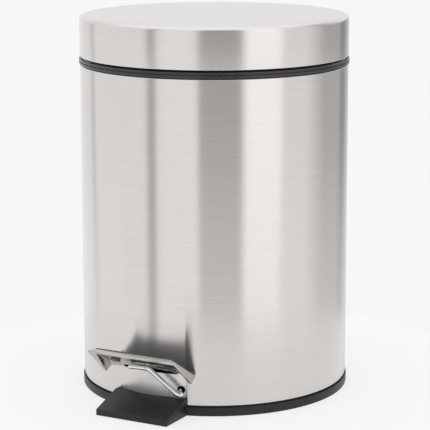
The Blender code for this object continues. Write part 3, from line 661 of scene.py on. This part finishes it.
def fastener_tree(name, finish, recess):
    """Sets a domed fastener on each vertex, standing along the given facing, with a cross cut in its head
    when recess is set.
    """
    tree = new_tree(name, Head_radius=0.003, Head_height=0.0015, Shank_radius=0.0015, Shank_length=0.006,
                    Facing=None)
    link = tree.links.new
    given = tree.nodes.new("NodeGroupInput")
    dome = tree.nodes.new("GeometryNodeMeshUVSphere")
    dome.inputs["Segments"].default_value = 32
    dome.inputs["Rings"].default_value = 16
    dome.inputs["Radius"].default_value = 1.0
    size = tree.nodes.new("ShaderNodeCombineXYZ")
    for axis in ("X", "Y"):
        link(given.outputs["Head radius"], size.inputs[axis])
    link(given.outputs["Head height"], size.inputs["Z"])
    shaped = tree.nodes.new("GeometryNodeTransform")
    link(dome.outputs["Mesh"], shaped.inputs["Geometry"])
    link(size.outputs[0], shaped.inputs["Scale"])
    under = tree.nodes.new("GeometryNodeMeshCube")
    under.inputs["Size"].default_value = (0.02, 0.02, 0.02)
    lowered = tree.nodes.new("GeometryNodeTransform")
    lowered.inputs["Translation"].default_value = (0.0, 0.0, -0.01)
    link(under.outputs["Mesh"], lowered.inputs["Geometry"])
    cut = tree.nodes.new("GeometryNodeMeshBoolean")
    cut.operation = "DIFFERENCE"
    link(shaped.outputs[0], cut.inputs["Mesh 1"])
    link(lowered.outputs[0], cut.inputs["Mesh 2"])
    head = cut.outputs["Mesh"]
    if recess:
        for turned_by in (0.0, math.pi / 2):
            bar = tree.nodes.new("GeometryNodeMeshCube")
            bar.inputs["Size"].default_value = (0.0034, 0.0007, 0.0016)
            spun = tree.nodes.new("GeometryNodeTransform")
            spun.inputs["Rotation"].default_value = (0.0, 0.0, turned_by)
            raised = tree.nodes.new("ShaderNodeCombineXYZ")
            link(given.outputs["Head height"], raised.inputs["Z"])
            link(raised.outputs[0], spun.inputs["Translation"])
            link(bar.outputs["Mesh"], spun.inputs["Geometry"])
            again = tree.nodes.new("GeometryNodeMeshBoolean")
            again.operation = "DIFFERENCE"
            link(head, again.inputs["Mesh 1"])
            link(spun.outputs[0], again.inputs["Mesh 2"])
            head = again.outputs["Mesh"]
    shank = tree.nodes.new("GeometryNodeMeshCylinder")
    shank.inputs["Vertices"].default_value = 20
    link(given.outputs["Shank radius"], shank.inputs["Radius"])
    link(given.outputs["Shank length"], shank.inputs["Depth"])
    half = tree.nodes.new("ShaderNodeMath")
    half.operation = "MULTIPLY"
    half.inputs[1].default_value = -0.49
    link(given.outputs["Shank length"], half.inputs[0])
    down = tree.nodes.new("ShaderNodeCombineXYZ")
    link(half.outputs[0], down.inputs["Z"])
    sunk = tree.nodes.new("GeometryNodeTransform")
    link(shank.outputs["Mesh"], sunk.inputs["Geometry"])
    link(down.outputs[0], sunk.inputs["Translation"])
    whole = tree.nodes.new("GeometryNodeMeshBoolean")
    whole.operation = "UNION"
    link(head, whole.inputs["Mesh 2"])
    link(sunk.outputs[0], whole.inputs["Mesh 2"])
    aim = tree.nodes.new("FunctionNodeAlignRotationToVector")
    aim.axis = "Z"
    link(given.outputs["Facing"], aim.inputs["Vector"])
    spread = tree.nodes.new("GeometryNodeInstanceOnPoints")
    link(given.outputs["Geometry"], spread.inputs["Points"])
    link(whole.outputs["Mesh"], spread.inputs["Instance"])
    link(aim.outputs[0], spread.inputs["Rotation"])
    return end_tree(tree, spread, finish)


def run_tree(name, mesh, tree, finish, **inputs):
    """Runs a Geometry Nodes tree on a mesh with its named inputs, and keeps the plain mesh it makes."""
    piece = place(name, mesh, finish)
    maker = piece.modifiers.new("maker", "NODES")
    maker.node_group = tree
    for item in tree.interface.items_tree:
        label = item.name.replace(" ", "_")
        if item.item_type == "SOCKET" and item.in_out == "INPUT" and label in inputs:
            maker[item.identifier] = inputs[label]
    return settle(piece, 40.0)


screw_tree = fastener_tree("cross_screw", zinc, True)
rivet_tree = fastener_tree("domed_rivet", zinc, False)


def fasteners(name, tree, spots, facing, body, nodes, head, shank):
    mesh = bpy.data.meshes.new(name)
    mesh.from_pydata([tuple(spot) for spot in spots], [], [])
    piece = run_tree(name, mesh, tree, zinc, Head_radius=head[0], Head_height=head[1],
                     Shank_radius=shank[0], Shank_length=shank[1], Facing=facing)
    finish_piece(piece, body, "bright_steel", *nodes)


strap_top = SHAFT_Z - WIRE_R + 0.0013
fasteners("strap_screws", screw_tree,
          [shaft_point(side * SCREW_ASIDE, along, strap_top) for along in STRAP_PLACES for side in SIDES],
          (0.0, 0.0, 1.0), "bin_body",
          [f"{end}_bearing_screw_{i}" for end in ("front", "rear") for i in (1, 2)],
          (0.0026, 0.0016), (0.0014, 0.0085))
fasteners("bracket_screws", screw_tree, [(side * 0.0100, 0.0984, 0.2330) for side in SIDES],
          (0.0, -1.0, 0.0), "bin_body", ["bracket_screw_1", "bracket_screw_2"],
          (0.0030, 0.0016), (0.0015, 0.0050))
fasteners("guide_rivets", rivet_tree, [(0.0100, 0.1001, 0.2000)],
          (0.0, 1.0, 0.0), "bin_body", ["guide_rivet"],
          (0.0030, 0.0012), (0.0014, 0.0042))
fasteners("lever_rivets", rivet_tree, [(side * 0.0070, 0.1018, 0.2650) for side in SIDES],
          (0.0, 1.0, 0.0), "lid", ["leaf_rivet_1", "leaf_rivet_2"],
          (0.0028, 0.0012), (0.0016, 0.0050))


# ---------------------------------------------------------------- Lift rod and its guide
# A 3 mm steel rod with an eye bent round the crank's pin. It runs up inside the can's back,
# through a black plastic clip, and pushes the lid lever from below.
def make_lift_rod():
    eye_r, top = 0.0042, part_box("lift_rod")[1].z
    eye = shaft_point(ARM_REACH, SHAFT_REAR + 0.0062, SHAFT_Z - ARM_DROP)
    across = shaft_point(1.0, 0.0, 0.0)
    loop = [eye + across * eye_r * math.sin(t) + Vector((0, 0, eye_r * math.cos(t)))
            for t in [math.radians(a) for a in range(322, -1, -14)]]
    stem = [loop[-1], loop[-1] + Vector((-0.0010, 0.0002, 0.0030)), Vector((0.0015, 0.0920, 0.0300)),
            Vector((0.0006, 0.0945, 0.0420)), Vector((0.0, 0.0965, 0.0600))]
    route = loop + smooth_route(stem, 0.0015)[1:] + [Vector((0.0, 0.0965, top))]
    rod = drawn_wire("lift_wire", route, WIRE_R, zinc, 20)
    finish_piece(rod, "rod", "bright_steel", "lift_rod")
    clip = softened("rod_guide", "rod_clip", black_plastic, 0.0004)
    finish_piece(clip, "bin_body", "black_plastic", "rod_guide")


make_lift_rod()


# ---------------------------------------------------------------- Pedal
# Folded from one 1.2 mm blank, chromed: a sloping tread, a lip down its front and a flange down
# each side. Its tongue goes through the slot in the can and hooks behind the wall.
pedal_steel = plated("polished_steel", (0.52, 0.50, 0.48), 0.12, 70.0)
pedal = softened("pedal_plate", "pedal_tread", pedal_steel, 0.00020, 2)
finish_piece(pedal, "pedal", "chrome", "pedal_plate")


# ---------------------------------------------------------------- Pedal pad
# A black rubber mat on the tread, with ribs from front to back so that a shoe doesn't slip.
# Two studs moulded under it are pushed through holes in the plate.
def rib_tree(finish):
    """A row of rounded bars, evenly spaced along X."""
    tree = new_tree("tread_ribs", Count=9, Pitch=0.005, Length=0.02, Radius=0.0007)
    link = tree.links.new
    given = tree.nodes.new("NodeGroupInput")
    row = tree.nodes.new("GeometryNodeMeshLine")
    step = tree.nodes.new("ShaderNodeCombineXYZ")
    link(given.outputs["Count"], row.inputs["Count"])
    link(given.outputs["Pitch"], step.inputs["X"])
    link(step.outputs[0], row.inputs["Offset"])
    run = tree.nodes.new("GeometryNodeCurvePrimitiveLine")
    reach = tree.nodes.new("ShaderNodeCombineXYZ")
    link(given.outputs["Length"], reach.inputs["Y"])
    link(reach.outputs[0], run.inputs["End"])
    section = tree.nodes.new("GeometryNodeCurvePrimitiveCircle")
    section.inputs["Resolution"].default_value = 12
    link(given.outputs["Radius"], section.inputs["Radius"])
    bar = tree.nodes.new("GeometryNodeCurveToMesh")
    bar.inputs["Fill Caps"].default_value = True
    link(run.outputs[0], bar.inputs["Curve"])
    link(section.outputs[0], bar.inputs["Profile Curve"])
    spread = tree.nodes.new("GeometryNodeInstanceOnPoints")
    link(row.outputs[0], spread.inputs["Points"])
    link(bar.outputs[0], spread.inputs["Instance"])
    return end_tree(tree, spread, finish)


pad_rubber = moulded("tread_rubber", (0.034, 0.034, 0.034), 0.46, 900.0, 0.00006, 0.75)


def make_pad():
    tread_low, tread_rise, tread_run, first_rib = 0.0302, 0.0182, 0.0272, (-0.0250, -0.1196)
    tilt = math.atan2(tread_rise, tread_run)
    ribs = run_tree("pad_ribs", bpy.data.meshes.new("pad_ribs"), rib_tree(pad_rubber), pad_rubber,
                    Count=11, Pitch=0.0050, Length=0.0215, Radius=0.0006)
    start = Matrix.Translation((*first_rib, tread_low + 0.0246 * math.tan(tilt) + 0.0013))
    ribs.data.transform(start @ Matrix.Rotation(-tilt, 4, "X"))
    finish_piece(ribs, "pedal", "rubber")
    mat = softened("pedal_pad", "pad_mat", pad_rubber, 0.0002)
    finish_piece(mat, "pedal", "rubber", "pedal_pad")


make_pad()


# ---------------------------------------------------------------- Bucket
# Injection-moulded black polypropylene, tapered so that it lifts out, with a rolled rim that hangs
# on the collar, a stiffening bead below it and two holes for the handle.
bucket_plastic = moulded("bucket_polypropylene", (0.028, 0.028, 0.029), 0.50, 1800.0, 0.00006, 0.3)


def make_bucket():
    low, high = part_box("bucket")[0].z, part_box("bucket")[1].z
    foot, mouth, wall = 0.0840, 0.0900, 0.0015
    outline = [(0.0, low + 0.0012), (foot - 0.0120, low + 0.0012), (foot - 0.0110, low)] \
        + arc((foot - 0.0045, low + 0.0045), 0.0045, -90, -6, 6) \
        + [(mouth - 0.0006, high - 0.0200), (mouth - 0.0002, high - 0.0185), (mouth, high - 0.0170),
           (mouth, 0.2475), (0.0913, 0.2475)] \
        + arc((0.0913, high - 0.00065), 0.00065, -90, 90, 5) \
        + [(mouth - wall + 0.0007, high)] + arc((mouth - wall + 0.0007, high - 0.0007), 0.0007, 90, 180, 3) \
        + [(mouth - wall, high - 0.0165), (mouth - wall - 0.0004, high - 0.0180),
           (mouth - wall - 0.0007, high - 0.0200)] \
        + arc((foot - wall - 0.0040, low + 0.0055), 0.0040, -6, -90, 6) + [(0.0, low + 0.0027)]
    bucket = turned("bucket_shell", outline, bucket_plastic, 192)
    holes = []
    for side in SIDES:
        low_x, high_x = sorted((side * 0.0850, side * 0.0940))
        holes.append(block(f"bail_hole_{side}", ring((0.0, 0.2420), 0.0016, 20), "X", low_x, high_x))
    carve(bucket, *holes)
    finish_piece(bucket, "bin_body", "bucket_plastic", "bucket")


make_bucket()


# ---------------------------------------------------------------- Bucket handle
# A bent steel wire with its ends hooked through the bucket's sides, so that it swings.
# A plastic sleeve covers its middle, where the hand goes.
def make_bail():
    reach, back, height, wire_r = 0.0845, 0.0800, 0.2420, 0.0012
    sweep = [Vector((reach * math.cos(t), back * math.sin(t), height))
             for t in [math.pi * i / 138 for i in range(6, 133)]]
    ends = [Vector((0.0930, 0.0, height)), Vector((0.0880, 0.0, height)), Vector((0.0858, 0.0012, height))]
    route = smooth_route(ends + sweep[:1])[:-1] + sweep \
        + smooth_route([sweep[-1]] + [Vector((-p.x, p.y, p.z)) for p in reversed(ends)])[1:]
    bail = drawn_wire("bail_wire", route, wire_r, zinc, 20)
    finish_piece(bail, "bail", "bright_steel", "bucket_handle")
    grip = softened("bucket_handle_grip", "bail_sleeve", bucket_plastic, 0.0003, 2, merge_flat=False)
    smooth = grip.modifiers.new("smooth", "SUBSURF")
    smooth.levels = 2
    smooth.render_levels = 2
    settle(grip, 50.0)
    finish_piece(grip, "bail", "bucket_plastic", "bucket_handle_grip")


make_bail()


# ---------------------------------------------------------------- Lid
# Pressed from one disc of stainless steel with a tight rounded edge. The side is brushed round
# and round, the top straight across, and the skirt's bottom edge is hemmed inwards.
lid_steel = round_brushed("lid_side_steel", (0.700, 0.672, 0.655), 0.21, 0.72)
straight_grain = (60.0, 2600.0, 60.0)
# The top's steel colour is a painted highlight: it is a little lighter and pinker than the side's for the
# light the top catches. Its straight grain is real.
lid_top_steel = brushed_steel("lid_top_steel", (0.715, 0.690, 0.684), 0.30, 0.60, straight_grain, 0.0)[0]


def make_lid():
    low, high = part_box("lid_shell")[0].z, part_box("lid_shell")[1].z
    radius, edge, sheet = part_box("lid_shell")[1].x, 0.0032, 0.0006
    outline = [(0.0, high - sheet)] + arc((radius - edge, high - edge), edge - sheet, 90, 0, 7) \
        + [(radius - sheet, low + 0.0035), (radius - 0.0007, low + 0.0012)] \
        + arc((radius - 0.0010, low + 0.0010), 0.0010, 255, 360, 6) \
        + arc((radius - edge, high - edge), edge, 0, 90, 9) + [(radius - 0.020, high), (0.0, high)]
    lid = turned("lid_pressing", outline, lid_steel)
    lid.data.materials.append(lid_top_steel)
    # The flat top's faces take the steel with the painted highlight.
    for face in lid.data.polygons:
        if face.normal.z > 0.9 and face.center.z > high - 0.0003:
            face.material_index = 1
    holes = [block(f"rivet_hole_{side}", ring((side * 0.0070, 0.2650), 0.0019, 20), "Y", 0.090, 0.103)
             for side in SIDES]
    carve(lid, *holes)
    finish_piece(lid, "lid", "brushed_steel", "lid_shell")


make_lid()


# ---------------------------------------------------------------- Lid liner
# A black plastic dish that stiffens the lid from inside, with moulded ribs under its roof. The lid
# lever's two rivets go through its wall.
def radial_tree(finish):
    """Flat ribs set round a circle, each pointing at the middle."""
    tree = new_tree("liner_ribs", Count=16, Circle_radius=0.06, Rib_size=None)
    link = tree.links.new
    given = tree.nodes.new("NodeGroupInput")
    circle = tree.nodes.new("GeometryNodeMeshCircle")
    link(given.outputs["Count"], circle.inputs["Vertices"])
    link(given.outputs["Circle radius"], circle.inputs["Radius"])
    rib = tree.nodes.new("GeometryNodeMeshCube")
    link(given.outputs["Rib size"], rib.inputs["Size"])
    here = tree.nodes.new("GeometryNodeInputPosition")
    aim = tree.nodes.new("FunctionNodeAlignRotationToVector")
    aim.axis = "X"
    link(here.outputs[0], aim.inputs["Vector"])
    spread = tree.nodes.new("GeometryNodeInstanceOnPoints")
    link(circle.outputs[0], spread.inputs["Points"])
    link(rib.outputs["Mesh"], spread.inputs["Instance"])
    link(aim.outputs[0], spread.inputs["Rotation"])
    return end_tree(tree, spread, finish)


def make_liner():
    low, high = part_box("lid_liner")[0].z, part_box("lid_liner")[1].z
    radius, inner, roof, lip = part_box("lid_liner")[1].x, 0.0965, 0.2740, 0.0004
    outline = [(0.0, roof)] + arc((inner - 0.0040, roof - 0.0040), 0.0040, 90, 0, 5) \
        + arc((inner + lip, low + lip), lip, 180, 270, 3) + arc((radius - lip, low + lip), lip, 270, 360, 3) \
        + arc((radius - 0.0030, high - 0.0030), 0.0030, 0, 90, 5) + [(0.0, high)]
    liner = turned("liner_dish", outline, black_plastic, 192)
    holes = [block(f"liner_hole_{side}", ring((side * 0.0070, 0.2650), 0.0019, 20), "Y", 0.090, 0.103)
             for side in SIDES]
    carve(liner, *holes)
    finish_piece(liner, "lid", "black_plastic", "lid_liner")
    ribs = run_tree("liner_ribs", bpy.data.meshes.new("liner_ribs"), radial_tree(black_plastic),
                    black_plastic, Count=16, Circle_radius=0.0580, Rib_size=(0.0560, 0.0012, 0.0012))
    ribs.data.transform(Matrix.Translation((0.0, 0.0, roof - 0.0004)))
    finish_piece(ribs, "lid", "black_plastic")


make_liner()


# ---------------------------------------------------------------- Hinge
# A black plastic bracket on the can holds a steel pin between two ears. The pressed steel lever
# turns on the pin between them. Its nose reaches in through the collar's notch.
lever = softened("hinge_leaf", "lid_lever", zinc, 0.0003)
finish_piece(lever, "lid", "bright_steel", "hinge_leaf")
bracket = softened("hinge_bracket", "rear_bracket", black_plastic, 0.0006, 3)
finish_piece(bracket, "bin_body", "black_plastic", "hinge_bracket")
hinge_pin = softened("hinge_pin", "pivot_pin", chrome, 0.0002)
finish_piece(hinge_pin, "bin_body", "bright_steel", "hinge_pin")
pin_cap = softened("hinge_pin_cap", "pivot_cap", zinc, 0.0002)
finish_piece(pin_cap, "bin_body", "bright_steel", "hinge_pin_cap")
